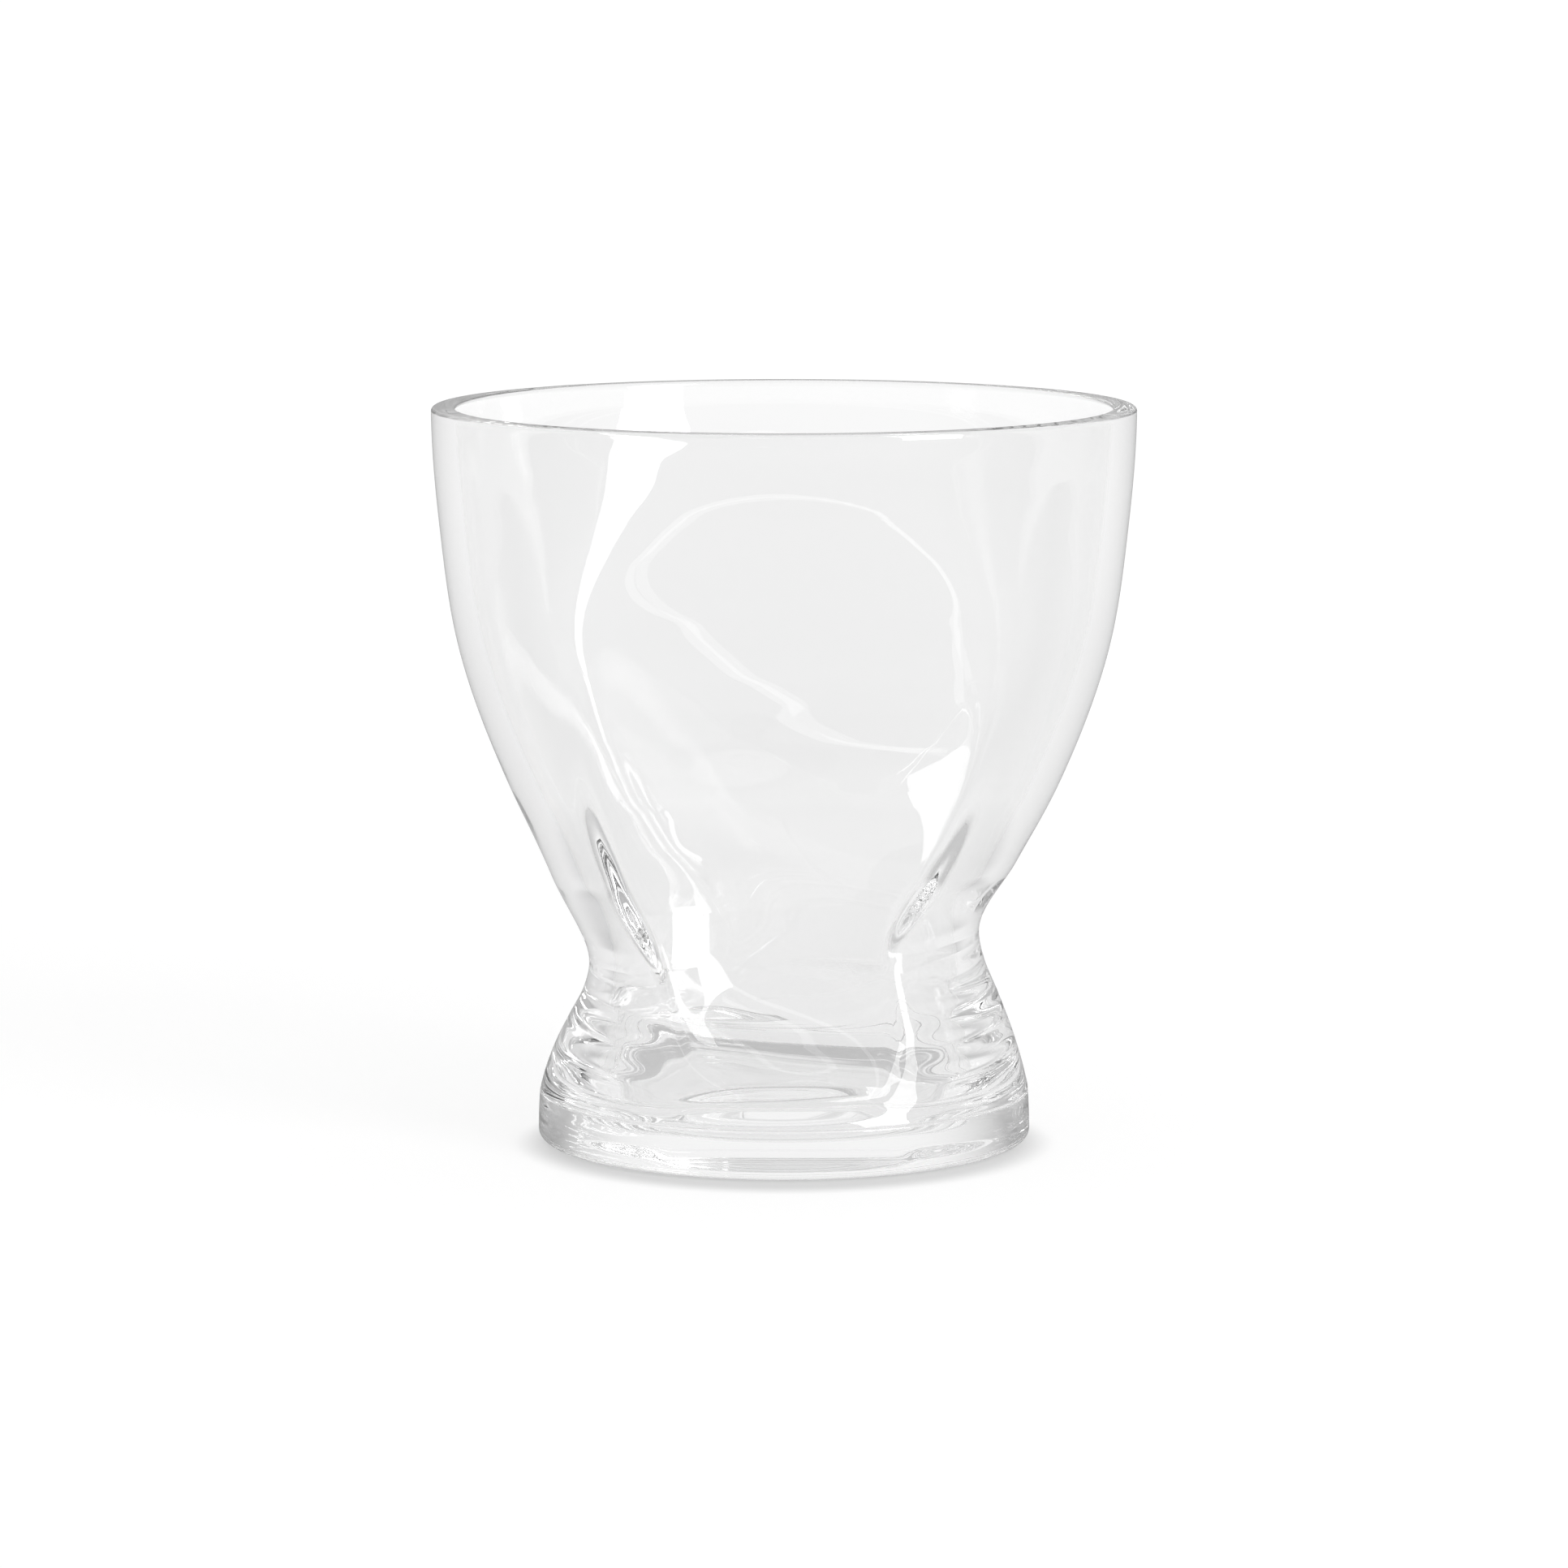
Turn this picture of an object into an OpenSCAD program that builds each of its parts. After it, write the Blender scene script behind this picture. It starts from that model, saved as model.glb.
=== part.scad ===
// Mixing glass: a round mouth, a front and a back pressed flat, a pinched waist and a dished foot.
// Lengths are millimetres. The foot stands on the XY plane, the front faces -Y and the back faces +Y.

/* [Mouth] */
// Height of the rim above the table
height = 126; // [110:1:145]
// Outer diameter of the rim
rim_d = 120; // [104:1:136]
// Wall thickness at the rim
rim_wall = 4.2; // [3:0.1:6]
// Radius of the polish on the two edges of the rim
rim_edge_r = 0.7; // [0.3:0.1:1.2]

/* [Waist] */
// Outer width of the waist across its two pillars
waist_d = 67; // [60:1:76]
// Height of the waist above the table
waist_z = 33; // [28:1:38]
// How far the waist rises towards the right-hand pillar, and falls towards the left-hand one
waist_tilt = 2.7; // [0:0.1:5]
// Height over which the tilt of the waist dies away
waist_reach = 16; // [12:1:22]

/* [Pressed sides] */
// Outer depth of the glass where its front and back come closest
pinch_d = 33; // [30:0.5:42]
// Height of that closest place above the table
pinch_z = 44; // [40:1:50]
// Distance of the middle of the front to the right of the axis, at the waist
front_x = -7; // [-12:0.5:12]
// How far the middle of the front moves to the right between the waist and the rim
front_lean = 12; // [-40:1:40]
// How far the middle of the front moves to the right between the waist and the seam
front_kick = 13; // [-20:1:20]
// How much more the front curves to the left of its middle than to the right
front_dip = 1.6; // [1:0.1:2]
// Distance of the middle of the back to the right of the axis, at the waist
back_x = 19; // [-25:0.5:25]
// How far the middle of the back moves to the right between the waist and the rim
back_lean = -52; // [-60:1:60]

/* [Walls] */
// Wall thickness at the waist
waist_wall = 4.5; // [4:0.1:6]
// Wall thickness of the front and the back just above the seam, measured level
base_wall = 11; // [9:0.5:13]
// Height over which the wall thins from the waist towards the rim
wall_reach = 28; // [16:1:36]

/* [Foot] */
// Greatest diameter of the foot
foot_d = 84.6; // [78:0.2:92]
// Height of the foot, up to the seam with the bowl
foot_h = 8.4; // [7:0.1:9.5]
// Radius of the edge that meets the table
foot_edge_r = 1.6; // [0.8:0.1:2.4]
// Diameter that the foot loses between its widest point and the seam
foot_taper = 0.5; // [0:0.1:3]
// Radius of the two rounded edges that make the crease at the seam
seam_edge_r = 0.4; // [0.2:0.1:1]

/* [Floor] */
// Diameter of the dish in the foot, before its corner is rounded
dish_d = 66; // [58:0.5:68]
// Height of the floor of the hollow above the table
floor_z = 4; // [3.5:0.1:5.5]
// Radius of the corner between the floor and the wall
floor_corner_r = 9; // [7:0.5:10]

/* [Hidden] */

clear_glass = [0.93, 0.95, 0.95, 0.35];
rim_r = rim_d / 2;
waist_r = waist_d / 2;
pinch_r = pinch_d / 2;
foot_r = foot_d / 2;
seam_r = foot_r - foot_taper / 2;
dish_r = dish_d / 2;

// Outline of the bowl above the waist: share of the way up, share of the way out, slope where it is set
flare = [[0, 0, 0], [0.155, 0.25], [0.31, 0.52], [0.55, 0.825], [0.78, 0.95], [1, 1, 0]];
// Outline of the bowl below the waist: share of the way down, share of the way out, slope where it is set
skirt = [[0, 0, 0], [0.21, 0.12], [0.43, 0.41], [0.65, 0.69], [0.87, 0.905], [1, 1]];
// Half-depth of the pressed sides above the pinch: share of the way up, share of the way out
press_up = [[0, 0, 0], [0.1, 0.018], [0.2, 0.081], [0.34, 0.217], [0.49, 0.384],
    [0.63, 0.557], [0.78, 0.739], [1, 1]];
// Half-depth of the pressed sides below the pinch: share of the way down, share of the way out
press_down = [[0, 0, 0], [0.34, 0.137], [0.56, 0.333], [0.73, 0.549], [0.84, 0.706], [0.93, 0.843], [1, 1]];
// Half-depth that the pressed sides would reach at the rim, as a share of its radius
press_open = 1.2;
// How far they would stand outside the seam, where the round foot takes over
press_splay = 2;
// Power by which their wall thickens from the pinch down to the seam
base_power = 1.5;
// Curvature of the pressed sides from side to side: share of the height, curvature for each millimetre
bend = [[0.07, -0.008], [0.11, 0.002], [0.16, 0.009], [0.24, 0.0145], [0.365, 0.0145],
    [0.44, 0.0115], [0.52, 0.008], [0.64, 0.004], [1, 0.002]];
// Power by which the middle line of a pressed side leans more towards the rim
lean_power = 1.5;
// Softness of the fold between a pressed side and the round wall: share of the height, share of the depth
fold = [[0.07, 0.06], [0.3, 0.07], [0.5, 0.14], [1, 0.14]];
// Heights over which the pressed sides die away under the rim and above the seam
rim_clear = 4;
rim_fade = 10;
seam_clear = 0.5;
seam_fade = 3;
// Height over which a slope is taken
slope_step = 1;
// Greatest share of the round depth that is told apart, next to the two pillars
most_share = 1000;

// Facets of the bowl: points round each ring, rings up each wall, rings round each rounded edge
around = 60;
wall_rings = 30;
edge_rings = 3;
$fn = 128;

// Value between 0 and 1 that climbs smoothly from 0 to 1 as t goes from 0 to 1
function smooth(t) = let (c = min(max(t, 0), 1)) c * c * (3 - 2 * c);

// Bell of height 1 at the waist that dies away over a reach
function bell(z, reach) = exp(-pow((z - waist_z) / reach, 2));

// Slope of the line between two stations
function chord(a, b) = (b[1] - a[1]) / (b[0] - a[0]);

// Slope of a station curve at station i: its own, or the mean of the chords beside it
function slope(s, i) =
    len(s[i]) > 2 ? s[i][2] :
    i == 0 ? chord(s[0], s[1]) :
    i == len(s) - 1 ? chord(s[i - 1], s[i]) :
    (chord(s[i - 1], s[i]) * (s[i + 1][0] - s[i][0]) + chord(s[i], s[i + 1]) * (s[i][0] - s[i - 1][0]))
        / (s[i + 1][0] - s[i - 1][0]);

// Smooth curve through the stations, read at t
function curve(s, t, i = 0) =
    i < len(s) - 2 && t > s[i + 1][0] ? curve(s, t, i + 1) :
    let (span = s[i + 1][0] - s[i][0], u = (t - s[i][0]) / span)
    (1 + 2 * u) * pow(1 - u, 2) * s[i][1] + u * pow(1 - u, 2) * span * slope(s, i)
        + u * u * (3 - 2 * u) * s[i + 1][1] + u * u * (u - 1) * span * slope(s, i + 1);

// Outer radius of the bowl at height z, before the tilt and the pressing
function outer_r(z) =
    z > waist_z
        ? waist_r + (rim_r - waist_r) * curve(flare, (z - waist_z) / (height - waist_z))
        : waist_r + (seam_r - waist_r) * curve(skirt, (waist_z - z) / (waist_z - foot_h));

// Half-depth of the outside between the pressed sides, on their middle line
function press_depth(z) =
    z > pinch_z
        ? pinch_r + (press_open * rim_r - pinch_r) * curve(press_up, (z - pinch_z) / (height - pinch_z))
        : pinch_r + (seam_r + press_splay - pinch_r) * curve(press_down, (pinch_z - z) / (pinch_z - foot_h));

// Thickness of the wall at height z, square to it
function wall(z) = rim_wall + (waist_wall - rim_wall) * bell(max(z, waist_z), wall_reach);

// Thickness of a wall measured level, from two radii of its outside a little below and above
function level_wall(z, below, above) = wall(z) * norm([1, (above - below) / slope_step]);

// Half-depth of the hollow between the pressed sides: less the wall, thicker from the pinch to the seam
function hollow_depth(z) =
    let (share = max((pinch_z - z) / (pinch_z - foot_h), 0),
         high = min(max(z, pinch_z), height - slope_step / 2),
         least = level_wall(high, press_depth(high - slope_step / 2), press_depth(high + slope_step / 2)))
    press_depth(z) - least - (base_wall - least) * pow(share, base_power);

// Radius of the hollow before the tilt and the pressing: less the wall, then straight down to the dish
function hollow_r(z) =
    let (share = max((waist_z - z) / (waist_z - foot_h), 0),
         high = min(max(z, waist_z), height - slope_step / 2),
         inside = outer_r(max(z, waist_z))
            - level_wall(high, outer_r(high - slope_step / 2), outer_r(high + slope_step / 2)))
    inside + (dish_r - inside) * share;

// Middle line of a pressed side at height z
function middle(back, z) =
    let (rise = min(max((z - waist_z) / (height - waist_z), 0), 1),
         drop = min(max((waist_z - z) / (waist_z - foot_h), 0), 1))
    back
        ? back_x + back_lean * pow(rise, lean_power)
        : front_x + front_lean * pow(rise, lean_power) + front_kick * drop;

// Depth that the curve from side to side adds at a distance x from the middle line
function side_depth(back, x, z) =
    let (b = curve(bend, z / height))
    b * x * x * (!back && x < 0 && b > 0 ? front_dip : 1);

// Share of its round depth that the wall keeps at angle a: the lesser of 1 and the pressed depth over it,
// softened at the fold between them
function pressed_share(r, depth, z, a) =
    let (back = sin(a) > 0,
         pressed = depth + side_depth(back, r * cos(a) - middle(back, z), z),
         share = min(pressed / max(r * abs(sin(a)), 1 / most_share), most_share),
         least = (1 + share - norm([1 - share, curve(fold, z / height)])) / 2,
         fade = smooth((z - foot_h - seam_clear) / seam_fade) * smooth((height - rim_clear - z) / rim_fade))
    1 - (1 - least) * fade;

// Height at which the round outline is read, with the tilt of the waist taken off
function level(z, a) = min(max(z - waist_tilt * cos(a) * bell(z, waist_reach), foot_h), height);

// Inset of the round corner at the floor, at height z
function corner(z) =
    let (k = min(max((floor_z + floor_corner_r - z) / floor_corner_r, 0), 1))
    floor_corner_r * (1 - sqrt(1 - k * k));

// Point at angle a on a ring of radius r that keeps a share of its depth and is drawn in by an inset
function ring_point(r, share, inset, a, z) = [(r - inset) * cos(a), (r * share - inset) * sin(a), z];

// Ring of the outer surface at height z, drawn in by an inset
function outer_ring(z, inset) =
    [for (i = [0:around - 1])
        let (a = 360 * i / around, r = outer_r(level(z, a)))
        ring_point(r, pressed_share(r, press_depth(z), z, a), inset, a, z)];

// Ring of the hollow at height z, rounded in towards the floor
function hollow_ring(z) =
    [for (i = [0:around - 1])
        let (a = 360 * i / around, r = hollow_r(level(z, a)))
        ring_point(r, pressed_share(r, hollow_depth(z), z, a), corner(z), a, z)];

// Heights of n rings between two heights
function levels(low, high, n) = [for (i = [0:n - 1]) low + (high - low) * i / (n - 1)];

// Rings of the bowl, from the seam up the outside, over the rim and down the inside to the seam
function bowl_rings() =
    let (seam_top = foot_h + seam_edge_r,
         rim_low = height - rim_edge_r,
         step = 90 / edge_rings)
    concat(
        [for (i = [0:edge_rings - 1])
            outer_ring(seam_top - seam_edge_r * cos(i * step), seam_edge_r * (1 - sin(i * step)))],
        [for (z = levels(seam_top, rim_low, wall_rings)) outer_ring(z, 0)],
        [for (i = [1:edge_rings])
            outer_ring(rim_low + rim_edge_r * sin(i * step), rim_edge_r * (1 - cos(i * step)))],
        [for (i = [0:edge_rings - 1])
            outer_ring(rim_low + rim_edge_r * cos(i * step), rim_wall - rim_edge_r * (1 - sin(i * step)))],
        [for (z = levels(rim_low, foot_h, wall_rings)) hollow_ring(z)]
    );

// Solid skinned over a loop of rings, each ring joined to the next and the last to the first
module loft(rings) {
    n = len(rings[0]);
    count = len(rings);
    faces = [for (k = [0:count - 1], i = [0:n - 1])
        let (j = (i + 1) % n, up = (k + 1) % count)
        [k * n + i, up * n + i, up * n + j, k * n + j]];
    polyhedron(points = [for (r = rings, p = r) p], faces = faces, convexity = 6);
}

module pinched_bowl() {
    color(clear_glass) loft(bowl_rings());
}

// Arc about a centre from angle a0 to a1
function arc(centre, r, a0, a1, n = 12) =
    [for (i = [0:n]) let (a = a0 + (a1 - a0) * i / n) [centre[0] + r * cos(a), centre[1] + r * sin(a)]];

module foot_disc() {
    dish_start = -asin((floor_z + floor_corner_r - foot_h) / floor_corner_r);
    color(clear_glass)
    rotate_extrude()
    polygon(concat(
        [[0, 0]],
        arc([foot_r - foot_edge_r, foot_edge_r], foot_edge_r, -90, 0),
        arc([seam_r - seam_edge_r, foot_h - seam_edge_r], seam_edge_r, 0, 90),
        arc([dish_r - floor_corner_r, floor_z + floor_corner_r], floor_corner_r, dish_start, -90),
        [[0, floor_z]]
    ));
}

pinched_bowl();
foot_disc();
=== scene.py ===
"""A clear mixing glass with a round mouth, two pressed sides and a dished foot, in a white studio."""
import math

import bpy
import numpy as np
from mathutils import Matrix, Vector


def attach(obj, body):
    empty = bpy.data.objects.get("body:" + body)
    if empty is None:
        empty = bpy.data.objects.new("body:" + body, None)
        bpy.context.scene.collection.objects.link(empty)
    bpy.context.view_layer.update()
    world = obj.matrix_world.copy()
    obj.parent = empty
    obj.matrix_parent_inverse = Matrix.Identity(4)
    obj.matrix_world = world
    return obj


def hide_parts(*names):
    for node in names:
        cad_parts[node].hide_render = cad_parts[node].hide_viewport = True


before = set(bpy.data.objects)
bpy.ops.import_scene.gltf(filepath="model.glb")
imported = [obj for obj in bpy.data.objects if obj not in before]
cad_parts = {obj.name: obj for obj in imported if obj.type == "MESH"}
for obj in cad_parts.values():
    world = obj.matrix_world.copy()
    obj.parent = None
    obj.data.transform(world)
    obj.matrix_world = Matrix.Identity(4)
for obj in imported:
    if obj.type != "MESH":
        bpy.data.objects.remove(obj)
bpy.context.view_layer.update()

bl_info = {
    "name": "Mixing Glass",
    "version": (1, 0, 0),
    "blender": (4, 5, 0),
    "location": "View3D > Sidebar > Mixing Glass",
    "description": "Makes a pressed mixing glass in clear glass, and the white studio around it",
    "category": "Add Mesh",
}

MM = 0.001

# Outline of the bowl above the waist: share of the way up, share of the way out, slope where it is set
FLARE = ((0, 0, 0), (0.155, 0.25), (0.31, 0.52), (0.55, 0.825), (0.78, 0.95), (1, 1, 0))
# Outline of the bowl below the waist: share of the way down, share of the way out, slope where it is set
SKIRT = ((0, 0, 0), (0.21, 0.12), (0.43, 0.41), (0.65, 0.69), (0.87, 0.905), (1, 1))
# Half-depth of the pressed sides above the pinch: share of the way up, share of the way out
PRESS_UP = ((0, 0, 0), (0.1, 0.018), (0.2, 0.081), (0.34, 0.217), (0.49, 0.384), (0.63, 0.557), (0.78, 0.739),
            (1, 1))
# Half-depth of the pressed sides below the pinch: share of the way down, share of the way out
PRESS_DOWN = ((0, 0, 0), (0.34, 0.137), (0.56, 0.333), (0.73, 0.549), (0.84, 0.706), (0.93, 0.843), (1, 1))
# Half-depth that the pressed sides would reach at the rim, as a share of its radius
PRESS_OPEN = 1.2
# How far they would stand outside the seam, where the round foot takes over, in millimetres
PRESS_SPLAY = 2
# Power by which their wall thickens from the pinch down to the seam
BASE_POWER = 1.5
# Curvature of the pressed sides from side to side: share of the height, curvature for each millimetre
BEND = ((0.07, -0.008), (0.11, 0.002), (0.16, 0.009), (0.24, 0.0145), (0.365, 0.0145), (0.44, 0.0115),
        (0.52, 0.008), (0.64, 0.004), (1, 0.002))
# Power by which the middle line of a pressed side leans more towards the rim
LEAN_POWER = 1.5
# Softness of the fold between a pressed side and the round wall: share of the height, share of the depth
FOLD = ((0.07, 0.06), (0.3, 0.07), (0.5, 0.14), (1, 0.14))
# Heights over which the pressed sides die away under the rim and above the seam, in millimetres
RIM_CLEAR = 4
RIM_FADE = 10
SEAM_CLEAR = 0.5
SEAM_FADE = 3
# Height over which a slope is taken, in millimetres
SLOPE_STEP = 1
# Greatest share of the round depth that is told apart, next to the two pillars
MOST_SHARE = 1000

# Points round each ring, and rings along each wall, round each edge, down the dish and across each disc
AROUND = 288
WALL_RINGS = 150
EDGE_RINGS = 8
DISH_RINGS = 24
DISC_RINGS = 10

# Half the side of the sheet of paper, in metres
PAPER_REACH = 60.0
# The paper lies this far below the foot, so that a film of air parts it from the glass, in metres
AIR_FILM = 0.0002
# Glow of the paper near the glass and far behind it, and the distances between which it changes, in metres
PAPER_GLOW = (0.82, 0.88)
PAPER_SPAN = (0.3, 0.8)
# Glow of the paper where the glass mirrors it
PAPER_MIRROR = 0.2
# Shadow painted on the paper round the foot, whose own is lost in the glow: its centre and the distances over
# which it fades, in metres, and how dark it gets
CONTACT_CENTRE = (0.0, -0.0055, 0.0)
CONTACT_SPAN = (0.0395, 0.0475)
CONTACT_DARK = 0.35
# Painted shade on the paper on either side of the foot, which only the glass sees: the distances to the
# side over which the paper gets dark, those from the axis over which it gets light again, in metres, and how
# dark it gets
PAINTED_SHADE_SIDE = (0.05, 0.1)
PAINTED_SHADE_REACH = (0.07, 0.14)
PAINTED_SHADE_DARK = 0.7
# Room seen through the glass: white backdrop, dim sides, ceiling, and a lit wall behind the camera
BACKDROP = 1.0
DIM_ROOM = 0.35
CEILING = 0.6
CAMERA_WALL = 0.8
# Room seen as a mirror image in the glass, and the light that it gives to the paper
MIRROR_ROOM = 0.35
ROOM_LIGHT = 0.8
# Shares of the way to the back, the front and the top at which the sides turn to backdrop, wall and ceiling
BACKDROP_TURN = (0.4, 0.95)
WALL_TURN = (-0.1, -0.85)
CEILING_TURN = (0.05, 0.3)
# Lamps: azimuth right of the camera and elevation in degrees, then distance, width and height in metres
SOFTBOX_RIGHT = (48, 22, 2.0, 0.8, 1.8)
STRIP_ABOVE = (0, 60, 2.0, 2.4, 0.08)
# Point that the lamps face, in metres
LAMP_AIM = (0, 0, 0.07)
# Camera: its place, the point that it faces and the distances between which it sees, in metres
EYE_PLACE = (0, -1.120, 0.2156)
EYE_AIM = (0, 0, 0.061)
EYE_RANGE = (0.01, 200)
# Focal length and sensor width of the camera, in millimetres
FOCAL_LENGTH = 151.4
SENSOR_WIDTH = 36
# Bounces that light needs to find its way out of the rim and the folds, and between mirror images
GLASS_BOUNCES = 48
MIRROR_BOUNCES = 32

# The chill rings set in between these distances to the side and die away between these heights, in metres
RING_SIDE = (0.018, 0.026)
RING_TOP = (0.029, 0.040)
# How far the chill rings wander from level, as the wave texture counts it
RING_WANDER = 0.8
# A wave texture of scale 1 goes through this many radians for each metre
WAVE_RATE = 20


def linear_colour(text):
    """Turns an sRGB hex colour into the linear RGBA that the shaders work in."""
    channels = np.array([int(text[i:i + 2], 16) / 255 for i in (1, 3, 5)])
    low = channels / 12.92
    high = ((channels + 0.055) / 1.055) ** 2.4
    return (*np.where(channels <= 0.04045, low, high).tolist(), 1.0)


class GlassSizes(bpy.types.PropertyGroup):
    """Sizes of the glass"""
    height: bpy.props.FloatProperty(
        name="Height", description="Height of the rim above the table",
        default=0.126, unit="LENGTH", subtype="DISTANCE")
    rim_d: bpy.props.FloatProperty(
        name="Rim diameter", description="Outer diameter of the rim",
        default=0.120, unit="LENGTH", subtype="DISTANCE")
    rim_wall: bpy.props.FloatProperty(
        name="Rim wall", description="Wall thickness at the rim",
        default=0.0042, unit="LENGTH", subtype="DISTANCE")
    rim_edge_r: bpy.props.FloatProperty(
        name="Rim edge", description="Radius of the polish on the two edges of the rim",
        default=0.0007, unit="LENGTH", subtype="DISTANCE")
    waist_d: bpy.props.FloatProperty(
        name="Waist", description="Outer width of the waist across its two pillars",
        default=0.067, unit="LENGTH", subtype="DISTANCE")
    waist_z: bpy.props.FloatProperty(
        name="Waist height", description="Height of the waist above the table",
        default=0.033, unit="LENGTH", subtype="DISTANCE")
    waist_tilt: bpy.props.FloatProperty(
        name="Waist tilt", description="How far the waist rises to the right and falls to the left",
        default=0.0027, unit="LENGTH", subtype="DISTANCE")
    waist_reach: bpy.props.FloatProperty(
        name="Tilt reach", description="Height over which the tilt of the waist dies away",
        default=0.016, unit="LENGTH", subtype="DISTANCE")
    pinch_d: bpy.props.FloatProperty(
        name="Pinch depth", description="Outer depth of the glass where its front and back come closest",
        default=0.033, unit="LENGTH", subtype="DISTANCE")
    pinch_z: bpy.props.FloatProperty(
        name="Pinch height", description="Height of that closest place above the table",
        default=0.044, unit="LENGTH", subtype="DISTANCE")
    base_wall: bpy.props.FloatProperty(
        name="Base wall", description="Level wall thickness of the front and the back just above the seam",
        default=0.011, unit="LENGTH", subtype="DISTANCE")
    waist_wall: bpy.props.FloatProperty(
        name="Waist wall", description="Wall thickness at the waist",
        default=0.0045, unit="LENGTH", subtype="DISTANCE")
    wall_reach: bpy.props.FloatProperty(
        name="Wall reach", description="Height over which the wall thins from the waist towards the rim",
        default=0.028, unit="LENGTH", subtype="DISTANCE")
    front_x: bpy.props.FloatProperty(
        name="Front middle", description="Place of the front's middle line at the waist, right of the axis",
        default=-0.007, unit="LENGTH", subtype="DISTANCE")
    front_lean: bpy.props.FloatProperty(
        name="Front lean", description="How far that line moves to the right from the waist to the rim",
        default=0.012, unit="LENGTH", subtype="DISTANCE")
    front_kick: bpy.props.FloatProperty(
        name="Front kick", description="How far that line moves to the right from the waist down to the seam",
        default=0.013, unit="LENGTH", subtype="DISTANCE")
    front_dip: bpy.props.FloatProperty(
        name="Front dip", description="How many times more the front curves to the left of that line",
        default=1.6, min=1, max=2)
    back_x: bpy.props.FloatProperty(
        name="Back middle", description="Place of the back's middle line at the waist, right of the axis",
        default=0.019, unit="LENGTH", subtype="DISTANCE")
    back_lean: bpy.props.FloatProperty(
        name="Back lean", description="How far that line moves to the right from the waist to the rim",
        default=-0.052, unit="LENGTH", subtype="DISTANCE")
    foot_d: bpy.props.FloatProperty(
        name="Foot diameter", description="Greatest diameter of the foot",
        default=0.0846, unit="LENGTH", subtype="DISTANCE")
    foot_h: bpy.props.FloatProperty(
        name="Foot height", description="Height of the foot, up to the seam with the bowl",
        default=0.0084, unit="LENGTH", subtype="DISTANCE")
    foot_edge_r: bpy.props.FloatProperty(
        name="Foot edge", description="Radius of the edge that meets the table",
        default=0.0016, unit="LENGTH", subtype="DISTANCE")
    foot_taper: bpy.props.FloatProperty(
        name="Foot taper", description="Diameter that the foot loses between its widest point and the seam",
        default=0.0005, unit="LENGTH", subtype="DISTANCE")
    seam_edge_r: bpy.props.FloatProperty(
        name="Seam edge", description="Radius of the crease where the bowl and the foot meet",
        default=0.0004, unit="LENGTH", subtype="DISTANCE")
    dish_d: bpy.props.FloatProperty(
        name="Dish", description="Diameter of the hollow at the seam, before its corner is rounded",
        default=0.066, unit="LENGTH", subtype="DISTANCE")
    floor_z: bpy.props.FloatProperty(
        name="Floor height", description="Height of the floor of the hollow above the table",
        default=0.004, unit="LENGTH", subtype="DISTANCE")
    floor_corner_r: bpy.props.FloatProperty(
        name="Floor corner", description="Radius of the corner between the floor and the wall",
        default=0.009, unit="LENGTH", subtype="DISTANCE")


class GlassFinish(bpy.types.PropertyGroup):
    """Colour and gloss of the glass"""
    tint: bpy.props.FloatVectorProperty(
        name="Tint", description="Colour that the glass gives to light that goes through it",
        default=linear_colour("#F8F8F8")[:3], size=3, min=0, max=1, subtype="COLOR")
    ior: bpy.props.FloatProperty(
        name="Index of refraction", description="How strongly the glass bends light",
        default=1.52, min=1, max=2)
    ripple: bpy.props.FloatProperty(
        name="Ripple", description="Depth of the faint ripple of the blown surface",
        default=0.00001, unit="LENGTH", subtype="DISTANCE", precision=6)
    ripple_length: bpy.props.FloatProperty(
        name="Ripple length", description="Length of a wave of that ripple",
        default=0.025, unit="LENGTH", subtype="DISTANCE")
    ring: bpy.props.FloatProperty(
        name="Rings", description="Depth of the chill rings that the mould leaves round the two pillars",
        default=0.0001, unit="LENGTH", subtype="DISTANCE", precision=6)
    ring_pitch: bpy.props.FloatProperty(
        name="Ring pitch", description="Height from one chill ring to the next",
        default=0.0052, unit="LENGTH", subtype="DISTANCE")


class StudioLook(bpy.types.PropertyGroup):
    """Light and background of the studio"""
    paper: bpy.props.FloatVectorProperty(
        name="Paper", description="Colour of the floor as a lit surface",
        default=linear_colour("#7C7C7C")[:3], size=3, min=0, max=1, subtype="COLOR")
    key_radiance: bpy.props.FloatProperty(
        name="Softbox", description="Brightness of the softbox beside the glass", default=5.0, min=0)
    strip_radiance: bpy.props.FloatProperty(
        name="Strip", description="Brightness of the strip light above the camera", default=1.3, min=0)


def millimetres(group):
    """Sizes of a property group as plain numbers in millimetres."""
    names = [p.identifier for p in group.bl_rna.properties if p.type == "FLOAT" and p.unit == "LENGTH"]
    return {name: getattr(group, name) / MM for name in names}


def smooth(t):
    """Value that climbs smoothly from 0 to 1 as t goes from 0 to 1."""
    c = np.clip(t, 0, 1)
    return c * c * (3 - 2 * c)


def curve(stations, t):
    """Smooth curve through the stations, read at t: on each span a cubic that leaves each along its slope.
    A station's slope is its own, or the mean of the chords beside it, each weighted by the other's span."""
    x = np.array([s[0] for s in stations], float)
    v = np.array([s[1] for s in stations], float)
    span = np.diff(x)
    chord = np.diff(v) / span
    mean = (chord[:-1] * span[1:] + chord[1:] * span[:-1]) / (x[2:] - x[:-2])
    slope = np.concatenate([chord[:1], mean, chord[-1:]])
    own = np.array([s[2] if len(s) > 2 else np.nan for s in stations])
    slope = np.where(np.isnan(own), slope, own)
    i = np.clip(np.searchsorted(x, t, side="left") - 1, 0, len(x) - 2)
    u = (t - x[i]) / span[i]
    return ((1 + 2 * u) * (1 - u) ** 2 * v[i] + u * (1 - u) ** 2 * span[i] * slope[i]
            + u * u * (3 - 2 * u) * v[i + 1] + u * u * (u - 1) * span[i] * slope[i + 1])


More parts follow.
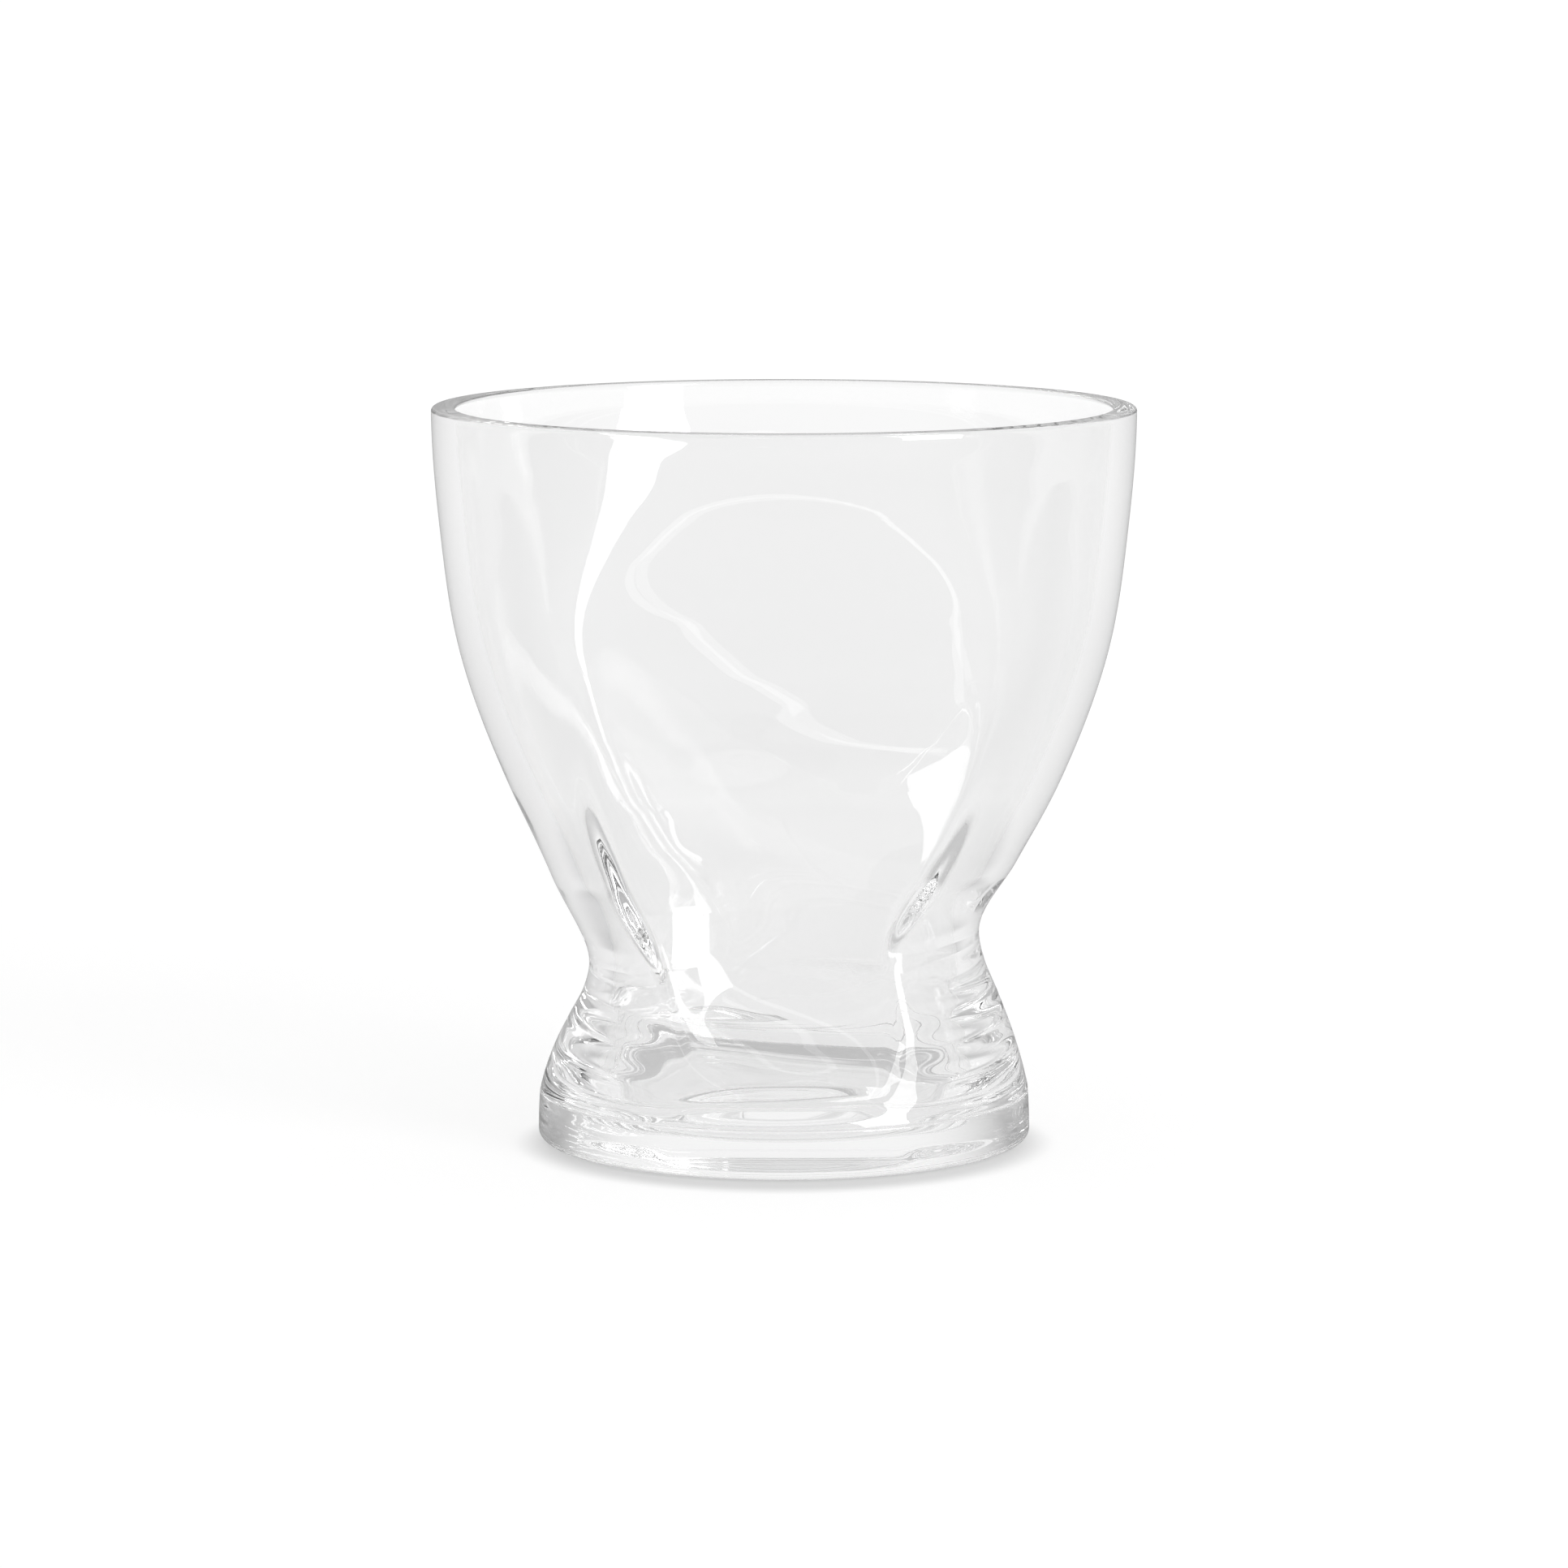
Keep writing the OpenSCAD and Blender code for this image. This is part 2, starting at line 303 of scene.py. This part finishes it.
class GlassShape:
    """The glass as formulas, in millimetres: z is a height, and a the angle round the axis from the right."""

    def __init__(self, sizes):
        self.__dict__.update(millimetres(sizes))
        self.front_dip = sizes.front_dip
        self.rim_r = self.rim_d / 2
        self.waist_r = self.waist_d / 2
        self.foot_r = self.foot_d / 2
        self.seam_r = self.foot_r - self.foot_taper / 2
        self.dish_r = self.dish_d / 2
        self.pinch_r = self.pinch_d / 2

    def bell(self, z, reach):
        """Bell of height 1 at the waist that dies away over a reach."""
        return np.exp(-((z - self.waist_z) / reach) ** 2)

    def outer_r(self, z):
        """Outer radius before the tilt and the pressing: the flare above the waist, the skirt below it."""
        up = np.clip((z - self.waist_z) / (self.height - self.waist_z), 0, 1)
        down = np.clip((self.waist_z - z) / (self.waist_z - self.foot_h), 0, 1)
        flare = self.waist_r + (self.rim_r - self.waist_r) * curve(FLARE, up)
        skirt = self.waist_r + (self.seam_r - self.waist_r) * curve(SKIRT, down)
        return np.where(z > self.waist_z, flare, skirt)

    def press_depth(self, z):
        """Half-depth of the outside between the pressed sides: one curve above the pinch, one below it."""
        up = np.clip((z - self.pinch_z) / (self.height - self.pinch_z), 0, 1)
        down = np.clip((self.pinch_z - z) / (self.pinch_z - self.foot_h), 0, 1)
        above = self.pinch_r + (PRESS_OPEN * self.rim_r - self.pinch_r) * curve(PRESS_UP, up)
        below = self.pinch_r + (self.seam_r + PRESS_SPLAY - self.pinch_r) * curve(PRESS_DOWN, down)
        return np.where(z > self.pinch_z, above, below)

    def level_wall(self, z, outside):
        """Thickness of the wall measured level: its own, times the slant of the outside, a function of z."""
        near = self.bell(np.maximum(z, self.waist_z), self.wall_reach)
        wall = self.rim_wall + (self.waist_wall - self.rim_wall) * near
        slope = (outside(z + SLOPE_STEP / 2) - outside(z - SLOPE_STEP / 2)) / SLOPE_STEP
        return wall * np.hypot(1, slope)

    def hollow_depth(self, z):
        """Half-depth of the hollow: the outside's less the wall, which thickens from pinch to seam."""
        share = np.clip((self.pinch_z - z) / (self.pinch_z - self.foot_h), 0, 1)
        high = np.clip(z, self.pinch_z, self.height - SLOPE_STEP / 2)
        least = self.level_wall(high, self.press_depth)
        return self.press_depth(z) - least - (self.base_wall - least) * share ** BASE_POWER

    def pressed_share(self, r, depth, z, a):
        """Share of its round depth that the wall keeps: the lesser of 1 and pressed over round, softened.
        The pressed depth is a depth at z plus a parabola across the glass about a middle line that leans."""
        back = np.sin(a) > 0
        rise = np.clip((z - self.waist_z) / (self.height - self.waist_z), 0, 1)
        drop = np.clip((self.waist_z - z) / (self.waist_z - self.foot_h), 0, 1)
        front_middle = self.front_x + self.front_lean * rise ** LEAN_POWER + self.front_kick * drop
        back_middle = self.back_x + self.back_lean * rise ** LEAN_POWER
        middle = np.where(back, back_middle, front_middle)
        bend = curve(BEND, z / self.height)
        dip = np.where(~back & (r * np.cos(a) < middle) & (bend > 0), self.front_dip, 1.0)
        pressed = depth + dip * bend * (r * np.cos(a) - middle) ** 2
        share = np.minimum(pressed / np.maximum(r * np.abs(np.sin(a)), 1 / MOST_SHARE), MOST_SHARE)
        least = (1 + share - np.hypot(1 - share, curve(FOLD, z / self.height))) / 2
        above_seam = smooth((z - self.foot_h - SEAM_CLEAR) / SEAM_FADE)
        below_rim = smooth((self.height - RIM_CLEAR - z) / RIM_FADE)
        return 1 - (1 - least) * above_seam * below_rim

    def level(self, z, a):
        """Height at which the round outline is read, with the tilt of the waist taken off."""
        tilt = self.waist_tilt * np.cos(a) * self.bell(z, self.waist_reach)
        return np.clip(z - tilt, self.foot_h, self.height)

    def half_axes(self, z, a):
        """Half-width and half-depth of the outer surface: the round radius, and its pressed share."""
        r = self.outer_r(self.level(z, a))
        return r, r * self.pressed_share(r, self.press_depth(z), z, a)

    def outer(self, z, a, inset=0.0):
        """Point of the outer surface at height z and angle a, drawn in by an inset."""
        wide, deep = self.half_axes(z, a)
        return np.stack([(wide - inset) * np.cos(a), (deep - inset) * np.sin(a), z + 0 * a], -1)

    def hollow_r(self, z):
        """Radius of the hollow before the tilt and the pressing: above the waist the outer radius less the
        wall, and below it a straight line to the dish in the foot."""
        share = np.clip((self.waist_z - z) / (self.waist_z - self.foot_h), 0, 1)
        high = np.clip(z, self.waist_z, self.height - SLOPE_STEP / 2)
        inside = self.outer_r(np.maximum(z, self.waist_z)) - self.level_wall(high, self.outer_r)
        return inside + (self.dish_r - inside) * share

    def corner(self, z):
        """Inset of the round corner at the floor: a quarter circle."""
        k = np.clip((self.floor_z + self.floor_corner_r - z) / self.floor_corner_r, 0, 1)
        return self.floor_corner_r * (1 - np.sqrt(1 - k * k))

    def inner(self, z, a):
        """Point of the hollow: its tilted radius, the pressed share of that, and the corner at the floor."""
        r = self.hollow_r(self.level(z, a))
        deep = r * self.pressed_share(r, self.hollow_depth(z), z, a) - self.corner(z)
        return np.stack([(r - self.corner(z)) * np.cos(a), deep * np.sin(a), z + 0 * a], -1)


def ring_grid(low, high, count):
    """Heights and angles of a grid of rings: one row for each height, one column for each point of a ring."""
    z = np.linspace(low, high, count)
    a = np.linspace(0, 2 * math.pi, AROUND, endpoint=False)
    return np.meshgrid(z, a, indexing="ij")


def loft_faces(rings, closed):
    """Quads between each ring and the next, which face out of a stack that climbs on its outside."""
    last = rings if closed else rings - 1
    i, j = np.meshgrid(np.arange(last), np.arange(AROUND), indexing="ij")
    up = (i + 1) % rings
    nxt = (j + 1) % AROUND
    quads = np.stack([i * AROUND + j, i * AROUND + nxt, up * AROUND + nxt, up * AROUND + j], -1)
    return quads.reshape(-1, 4)


def mesh_object(name, points, quads, triangles, seam_ring, materials):
    """Object at the origin from points in millimetres, smooth but for the flat seam after seam_ring."""
    mesh = bpy.data.meshes.new(name)
    faces = quads.tolist() + triangles.tolist()
    mesh.from_pydata((points * MM).tolist(), [], faces)
    for material in materials:
        mesh.materials.append(material)
    seam = np.zeros(len(faces), bool)
    seam[seam_ring * AROUND:(seam_ring + 1) * AROUND] = True
    mesh.polygons.foreach_set("use_smooth", ~seam)
    mesh.polygons.foreach_set("material_index", seam.astype(np.int32))
    mesh.update()
    mesh.validate()
    piece = bpy.data.objects.new(name, mesh)
    bpy.context.scene.collection.objects.link(piece)
    return piece


def add_node(tree, kind, settings=None, values=None, links=None):
    """Adds a node, sets its properties and input values, and links sockets of other nodes to its inputs."""
    node = tree.nodes.new(kind)
    for key, value in (settings or {}).items():
        setattr(node, key, value)
    for key, value in (values or {}).items():
        node.inputs[key].default_value = value
    for key, socket in (links or {}).items():
        tree.links.new(socket, node.inputs[key])
    return node


def soft_step(tree, socket, span, values):
    """Value that goes smoothly from the first of two values to the second while the socket crosses a span."""
    step = add_node(tree, "ShaderNodeMapRange", {"interpolation_type": "SMOOTHSTEP"},
                    {"From Min": span[0], "From Max": span[1], "To Min": values[0], "To Max": values[1]},
                    {"Value": socket})
    return step.outputs["Result"]


def empty_material(name):
    """Material with an empty node tree, made again if the name is in use."""
    old = bpy.data.materials.get(name)
    if old is not None:
        bpy.data.materials.remove(old)
    material = bpy.data.materials.new(name)
    material.use_nodes = True
    material.node_tree.nodes.clear()
    return material


def fire_polished_glass(finish):
    """Soda-lime glass, blown in a mould and fire-polished: clear, with a hint of grey where light crosses
    many walls, mirror-smooth, with a long shallow ripple left by the blowing, which bends reflections a
    little, and fine level rings on the two pillars, where the hot glass met the cold mould."""
    material = bpy.data.materials.get("fire_polished_soda_lime_glass")
    if material is not None:
        return material
    material = empty_material("fire_polished_soda_lime_glass")
    tree = material.node_tree
    place = add_node(tree, "ShaderNodeTexCoord")
    ripple = add_node(tree, "ShaderNodeTexNoise",
                      values={"Scale": 1 / finish.ripple_length, "Detail": 1.0, "Roughness": 0.4},
                      links={"Vector": place.outputs["Object"]})
    height = add_node(tree, "ShaderNodeMath", {"operation": "MULTIPLY"}, {1: finish.ripple},
                      {0: ripple.outputs["Fac"]})
    turns = 2 * math.pi / (WAVE_RATE * finish.ring_pitch)
    rings = add_node(tree, "ShaderNodeTexWave", {"bands_direction": "Z"},
                     {"Scale": turns, "Distortion": RING_WANDER, "Detail": 1.0, "Detail Scale": 0.6},
                     {"Vector": place.outputs["Object"]})
    split = add_node(tree, "ShaderNodeSeparateXYZ", links={0: place.outputs["Object"]})
    aside = add_node(tree, "ShaderNodeMath", {"operation": "ABSOLUTE"}, links={0: split.outputs["X"]})
    pillar = soft_step(tree, aside.outputs[0], RING_SIDE, (0.0, finish.ring))
    low = soft_step(tree, split.outputs["Z"], RING_TOP, (1.0, 0.0))
    depth = add_node(tree, "ShaderNodeMath", {"operation": "MULTIPLY"}, links={0: pillar, 1: low})
    both = add_node(tree, "ShaderNodeMath", {"operation": "MULTIPLY_ADD"},
                    links={0: depth.outputs[0], 1: rings.outputs["Fac"], 2: height.outputs[0]})
    bump = add_node(tree, "ShaderNodeBump", values={"Strength": 1.0, "Distance": 1.0},
                    links={"Height": both.outputs[0]})
    glass = add_node(tree, "ShaderNodeBsdfPrincipled",
                     values={"Base Color": (*finish.tint, 1.0), "Roughness": 0.0, "IOR": finish.ior,
                             "Transmission Weight": 1.0},
                     links={"Normal": bump.outputs["Normal"]})
    add_node(tree, "ShaderNodeOutputMaterial", links={"Surface": glass.outputs["BSDF"]})
    return material


def fused_seam():
    """The joint inside the glass, where bowl and foot were fused hot: no surface is left there, so light goes
    straight through it and the two pieces look like one body of glass."""
    material = bpy.data.materials.get("fused_glass_joint")
    if material is not None:
        return material
    material = empty_material("fused_glass_joint")
    tree = material.node_tree
    joint = add_node(tree, "ShaderNodeBsdfPrincipled", values={"Alpha": 0.0, "Roughness": 0.0})
    add_node(tree, "ShaderNodeOutputMaterial", links={"Surface": joint.outputs["BSDF"]})
    return material


class MIXINGGLASS_OT_bowl(bpy.types.Operator):
    """Makes the blown bowl, from the seam above the foot to the rim"""
    bl_idname = "mixing_glass.bowl"
    bl_label = "Pinched bowl"

    def execute(self, context):
        settings = context.scene
        shape = GlassShape(settings.glass_sizes)
        rim_low = shape.height - shape.rim_edge_r
        edge = np.linspace(0, math.pi / 2, EDGE_RINGS)[1:-1, None]
        round_a = np.linspace(0, 2 * math.pi, AROUND, endpoint=False)[None, :]
        seam_top = shape.foot_h + shape.seam_edge_r
        crease = np.linspace(0, math.pi / 2, EDGE_RINGS)[:-1, None]
        crease_z = seam_top - shape.seam_edge_r * np.cos(crease) + 0 * round_a
        crease_out = shape.outer(crease_z, round_a + 0 * crease, shape.seam_edge_r * (1 - np.sin(crease)))
        z, a = ring_grid(seam_top, rim_low, WALL_RINGS)
        outside = np.concatenate([crease_out, shape.outer(z, a)])
        lip_z = rim_low + shape.rim_edge_r * np.sin(edge) + 0 * round_a
        lip_inset = shape.rim_edge_r * (1 - np.cos(edge))
        lip_out = shape.outer(lip_z, round_a + 0 * edge, lip_inset)
        lip_in = shape.outer(lip_z, round_a + 0 * edge, shape.rim_wall - lip_inset)
        top_z = shape.height + 0 * round_a
        top_out = shape.outer(top_z, round_a, shape.rim_edge_r)
        top_in = shape.outer(top_z, round_a, shape.rim_wall - shape.rim_edge_r)
        z, a = ring_grid(rim_low, shape.foot_h, WALL_RINGS)
        inside = shape.inner(z, a)
        rings = np.concatenate([outside, lip_out, top_out, top_in, lip_in[::-1], inside])
        quads = loft_faces(len(rings), closed=True)
        no_triangles = np.zeros((0, 3), int)
        last = len(rings) - 1
        materials = [fire_polished_glass(settings.glass_finish), fused_seam()]
        piece = mesh_object("blown_bowl", rings.reshape(-1, 3), quads, no_triangles, last, materials)
        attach(piece, "root")
        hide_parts("pinched_bowl")
        return {"FINISHED"}


class MIXINGGLASS_OT_foot(bpy.types.Operator):
    """Makes the dished foot, from the table to the seam"""
    bl_idname = "mixing_glass.foot"
    bl_label = "Foot disc"

    def execute(self, context):
        settings = context.scene
        shape = GlassShape(settings.glass_sizes)
        start = math.asin((shape.floor_z + shape.floor_corner_r - shape.foot_h) / shape.floor_corner_r)
        dish = np.linspace(start, math.pi / 2, DISH_RINGS)
        dish_r = shape.dish_r - shape.floor_corner_r * (1 - np.cos(dish))
        dish_z = shape.floor_z + shape.floor_corner_r * (1 - np.sin(dish))
        share = np.linspace(1, 0, DISC_RINGS + 1)[1:-1]
        edge = np.linspace(-math.pi / 2, 0, EDGE_RINGS + 2)
        edge_r = shape.foot_r - shape.foot_edge_r * (1 - np.cos(edge))
        edge_z = shape.foot_edge_r * (1 + np.sin(edge))
        side = np.linspace(0, 1, EDGE_RINGS)[1:]
        side_r = shape.foot_r + (shape.seam_r - shape.foot_r) * side ** 2
        side_z = shape.foot_edge_r + (shape.foot_h - shape.seam_edge_r - shape.foot_edge_r) * side
        crease = np.linspace(0, math.pi / 2, EDGE_RINGS)[1:]
        crease_r = shape.seam_r - shape.seam_edge_r * (1 - np.cos(crease))
        crease_z = shape.foot_h - shape.seam_edge_r * (1 - np.sin(crease))
        r = np.concatenate([edge_r[0] * share[::-1], edge_r, side_r, crease_r, dish_r, dish_r[-1] * share])
        z = np.concatenate([0 * share, edge_z, side_z, crease_z, dish_z, shape.floor_z + 0 * share])
        a = np.linspace(0, 2 * math.pi, AROUND, endpoint=False)
        rings = np.stack([np.outer(r, np.cos(a)), np.outer(r, np.sin(a)), np.outer(z, np.ones(AROUND))], -1)
        count = len(r)
        points = np.concatenate([rings.reshape(-1, 3), [[0, 0, 0], [0, 0, shape.floor_z]]])
        here = np.arange(AROUND)
        after = (here + 1) % AROUND
        pole = np.full(AROUND, count * AROUND)
        top = (count - 1) * AROUND
        under = np.stack([pole, after, here], -1)
        over = np.stack([pole + 1, top + here, top + after], -1)
        triangles = np.concatenate([under, over])
        seam_ring = len(share) + len(edge) + len(side) + len(crease) - 1
        quads = loft_faces(count, closed=False)
        materials = [fire_polished_glass(settings.glass_finish), fused_seam()]
        piece = mesh_object("dished_foot", points, quads, triangles, seam_ring, materials)
        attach(piece, "root")
        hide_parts("foot_disc")
        return {"FINISHED"}


class MIXINGGLASS_OT_studio(bpy.types.Operator):
    """Makes the white floor, the background, the two lamps and the camera"""
    bl_idname = "mixing_glass.studio"
    bl_label = "White studio"

    def execute(self, context):
        scene = context.scene
        look = scene.studio_look
        self.floor(scene, look)
        self.background(scene)
        self.lamp(scene, "softbox_right", SOFTBOX_RIGHT, look.key_radiance)
        self.lamp(scene, "strip_above", STRIP_ABOVE, look.strip_radiance)
        self.camera(scene)
        scene.view_settings.view_transform = "Standard"
        scene.cycles.max_bounces = GLASS_BOUNCES
        scene.cycles.transmission_bounces = GLASS_BOUNCES
        scene.cycles.glossy_bounces = MIRROR_BOUNCES
        return {"FINISHED"}

    def floor(self, scene, look):
        """Wide sheet of matt white paper: lit by the lamps, with a glow that only the eye and the glass see.
        The eye sees less of it in a narrow painted shadow round the foot, and the glass sees painted shade on
        either side of the foot, which draws the rings in its pillars."""
        mesh = bpy.data.meshes.new("studio_floor")
        signs = ((-1, -1), (1, -1), (1, 1), (-1, 1))
        corners = [(x * PAPER_REACH, y * PAPER_REACH, -AIR_FILM) for x, y in signs]
        mesh.from_pydata(corners, [], [(0, 1, 2, 3)])
        floor = bpy.data.objects.new("studio_floor", mesh)
        scene.collection.objects.link(floor)
        material = empty_material("matt_white_paper")
        tree = material.node_tree
        ray = add_node(tree, "ShaderNodeLightPath")
        place = add_node(tree, "ShaderNodeNewGeometry")
        spot = add_node(tree, "ShaderNodeSeparateXYZ", links={0: place.outputs["Position"]})
        aside = add_node(tree, "ShaderNodeMath", {"operation": "ABSOLUTE"}, links={0: spot.outputs["X"]})
        away = add_node(tree, "ShaderNodeVectorMath", {"operation": "LENGTH"},
                        links={0: place.outputs["Position"]})
        # Painted shade: to the glass, the paper darkens on either side of the foot, close to it
        beside = soft_step(tree, aside.outputs[0], PAINTED_SHADE_SIDE, (0.0, PAINTED_SHADE_DARK))
        near = soft_step(tree, away.outputs["Value"], PAINTED_SHADE_REACH, (1.0, 0.0))
        painted_shade = add_node(tree, "ShaderNodeMath", {"operation": "MULTIPLY"}, links={0: beside, 1: near})
        light = add_node(tree, "ShaderNodeMath", {"operation": "SUBTRACT"}, {0: 1.0}, {1: painted_shade.outputs[0]})
        through = add_node(tree, "ShaderNodeMath", {"operation": "MULTIPLY"},
                           links={0: ray.outputs["Is Transmission Ray"], 1: light.outputs[0]})
        apart = add_node(tree, "ShaderNodeVectorMath", {"operation": "DISTANCE"}, {1: CONTACT_CENTRE},
                         {0: place.outputs["Position"]})
        contact = soft_step(tree, apart.outputs["Value"], CONTACT_SPAN, (1 - CONTACT_DARK, 1.0))
        plain = add_node(tree, "ShaderNodeMath", {"operation": "MULTIPLY"},
                         links={0: ray.outputs["Is Camera Ray"], 1: contact})
        seen = add_node(tree, "ShaderNodeMath", {"operation": "MAXIMUM"},
                        links={0: plain.outputs[0], 1: through.outputs[0]})
        glow = soft_step(tree, away.outputs["Value"], PAPER_SPAN, PAPER_GLOW)
        bright = add_node(tree, "ShaderNodeMath", {"operation": "MULTIPLY"},
                          links={0: seen.outputs[0], 1: glow})
        mirror = add_node(tree, "ShaderNodeMath", {"operation": "MULTIPLY"}, {1: PAPER_MIRROR},
                          {0: ray.outputs["Is Glossy Ray"]})
        strength = add_node(tree, "ShaderNodeMath", {"operation": "MAXIMUM"},
                            links={0: bright.outputs[0], 1: mirror.outputs[0]})
        emission = add_node(tree, "ShaderNodeEmission", links={"Strength": strength.outputs[0]})
        paper = add_node(tree, "ShaderNodeBsdfDiffuse", values={"Color": (*look.paper, 1.0)})
        sheet = add_node(tree, "ShaderNodeAddShader", links={0: paper.outputs[0], 1: emission.outputs[0]})
        add_node(tree, "ShaderNodeOutputMaterial", links={"Surface": sheet.outputs[0]})
        mesh.materials.append(material)

    def background(self, scene):
        """Soft room: white to the eye, and through the glass a white backdrop between dim sides."""
        world = bpy.data.worlds.new("white_studio")
        scene.world = world
        world.use_nodes = True
        tree = world.node_tree
        tree.nodes.clear()
        ray = add_node(tree, "ShaderNodeLightPath")
        place = add_node(tree, "ShaderNodeTexCoord")
        split = add_node(tree, "ShaderNodeSeparateXYZ", links={0: place.outputs["Generated"]})
        behind = soft_step(tree, split.outputs["Y"], BACKDROP_TURN, (DIM_ROOM, BACKDROP))
        ahead = soft_step(tree, split.outputs["Y"], WALL_TURN, (DIM_ROOM, CAMERA_WALL))
        above = soft_step(tree, split.outputs["Z"], CEILING_TURN, (DIM_ROOM, CEILING))
        level = add_node(tree, "ShaderNodeMath", {"operation": "MAXIMUM"}, links={0: behind, 1: ahead})
        around = add_node(tree, "ShaderNodeMath", {"operation": "MAXIMUM"},
                          links={0: level.outputs[0], 1: above})
        through = add_node(tree, "ShaderNodeMix", {"data_type": "FLOAT"}, {2: MIRROR_ROOM},
                           {0: ray.outputs["Is Transmission Ray"], 3: around.outputs[0]})
        soft = add_node(tree, "ShaderNodeMix", {"data_type": "FLOAT"}, {3: ROOM_LIGHT},
                        {0: ray.outputs["Is Diffuse Ray"], 2: through.outputs[0]})
        seen = add_node(tree, "ShaderNodeMix", {"data_type": "FLOAT"}, {3: 1.0},
                        {0: ray.outputs["Is Camera Ray"], 2: soft.outputs[0]})
        sky = add_node(tree, "ShaderNodeBackground", values={"Color": (1, 1, 1, 1)},
                       links={"Strength": seen.outputs[0]})
        add_node(tree, "ShaderNodeOutputWorld", links={"Surface": sky.outputs[0]})

    def lamp(self, scene, name, placing, radiance):
        """Rectangular lamp that faces the glass, at an azimuth right of the camera and an elevation."""
        azimuth, elevation, distance, width, tall = placing
        lamp = bpy.data.lights.new(name, "AREA")
        lamp.shape = "RECTANGLE"
        lamp.size = width
        lamp.size_y = tall
        lamp.energy = radiance * math.pi * width * tall
        box = bpy.data.objects.new(name, lamp)
        scene.collection.objects.link(box)
        turn = math.radians(azimuth)
        lift = math.radians(elevation)
        away = Vector((math.sin(turn) * math.cos(lift), -math.cos(turn) * math.cos(lift), math.sin(lift)))
        box.location = Vector(LAMP_AIM) + distance * away
        box.rotation_euler = (-away).to_track_quat("-Z", "Y").to_euler()

    def camera(self, scene):
        """Camera at the photograph's viewing angle, a little above the rim."""
        lens = bpy.data.cameras.new("studio_camera")
        lens.sensor_width = SENSOR_WIDTH
        lens.lens = FOCAL_LENGTH
        lens.clip_start, lens.clip_end = EYE_RANGE
        eye = bpy.data.objects.new("studio_camera", lens)
        scene.collection.objects.link(eye)
        eye.location = EYE_PLACE
        eye.rotation_euler = (Vector(EYE_AIM) - eye.location).to_track_quat("-Z", "Y").to_euler()
        scene.camera = eye


class MIXINGGLASS_PT_panel(bpy.types.Panel):
    """Lists the pieces of the glass and its studio"""
    bl_idname = "MIXINGGLASS_PT_panel"
    bl_label = "Mixing Glass"
    bl_space_type = "VIEW_3D"
    bl_region_type = "UI"
    bl_category = "Mixing Glass"

    def draw(self, context):
        for maker in (MIXINGGLASS_OT_bowl, MIXINGGLASS_OT_foot, MIXINGGLASS_OT_studio):
            self.layout.operator(maker.bl_idname)


CLASSES = (GlassSizes, GlassFinish, StudioLook, MIXINGGLASS_OT_bowl, MIXINGGLASS_OT_foot,
           MIXINGGLASS_OT_studio, MIXINGGLASS_PT_panel)


def register():
    for item in CLASSES:
        bpy.utils.register_class(item)
    bpy.types.Scene.glass_sizes = bpy.props.PointerProperty(type=GlassSizes)
    bpy.types.Scene.glass_finish = bpy.props.PointerProperty(type=GlassFinish)
    bpy.types.Scene.studio_look = bpy.props.PointerProperty(type=StudioLook)


def unregister():
    del bpy.types.Scene.studio_look
    del bpy.types.Scene.glass_finish
    del bpy.types.Scene.glass_sizes
    for item in reversed(CLASSES):
        bpy.utils.unregister_class(item)


def main():
    register()
    bpy.ops.mixing_glass.bowl()
    bpy.ops.mixing_glass.foot()
    bpy.ops.mixing_glass.studio()


if __name__ == "__main__":
    main()
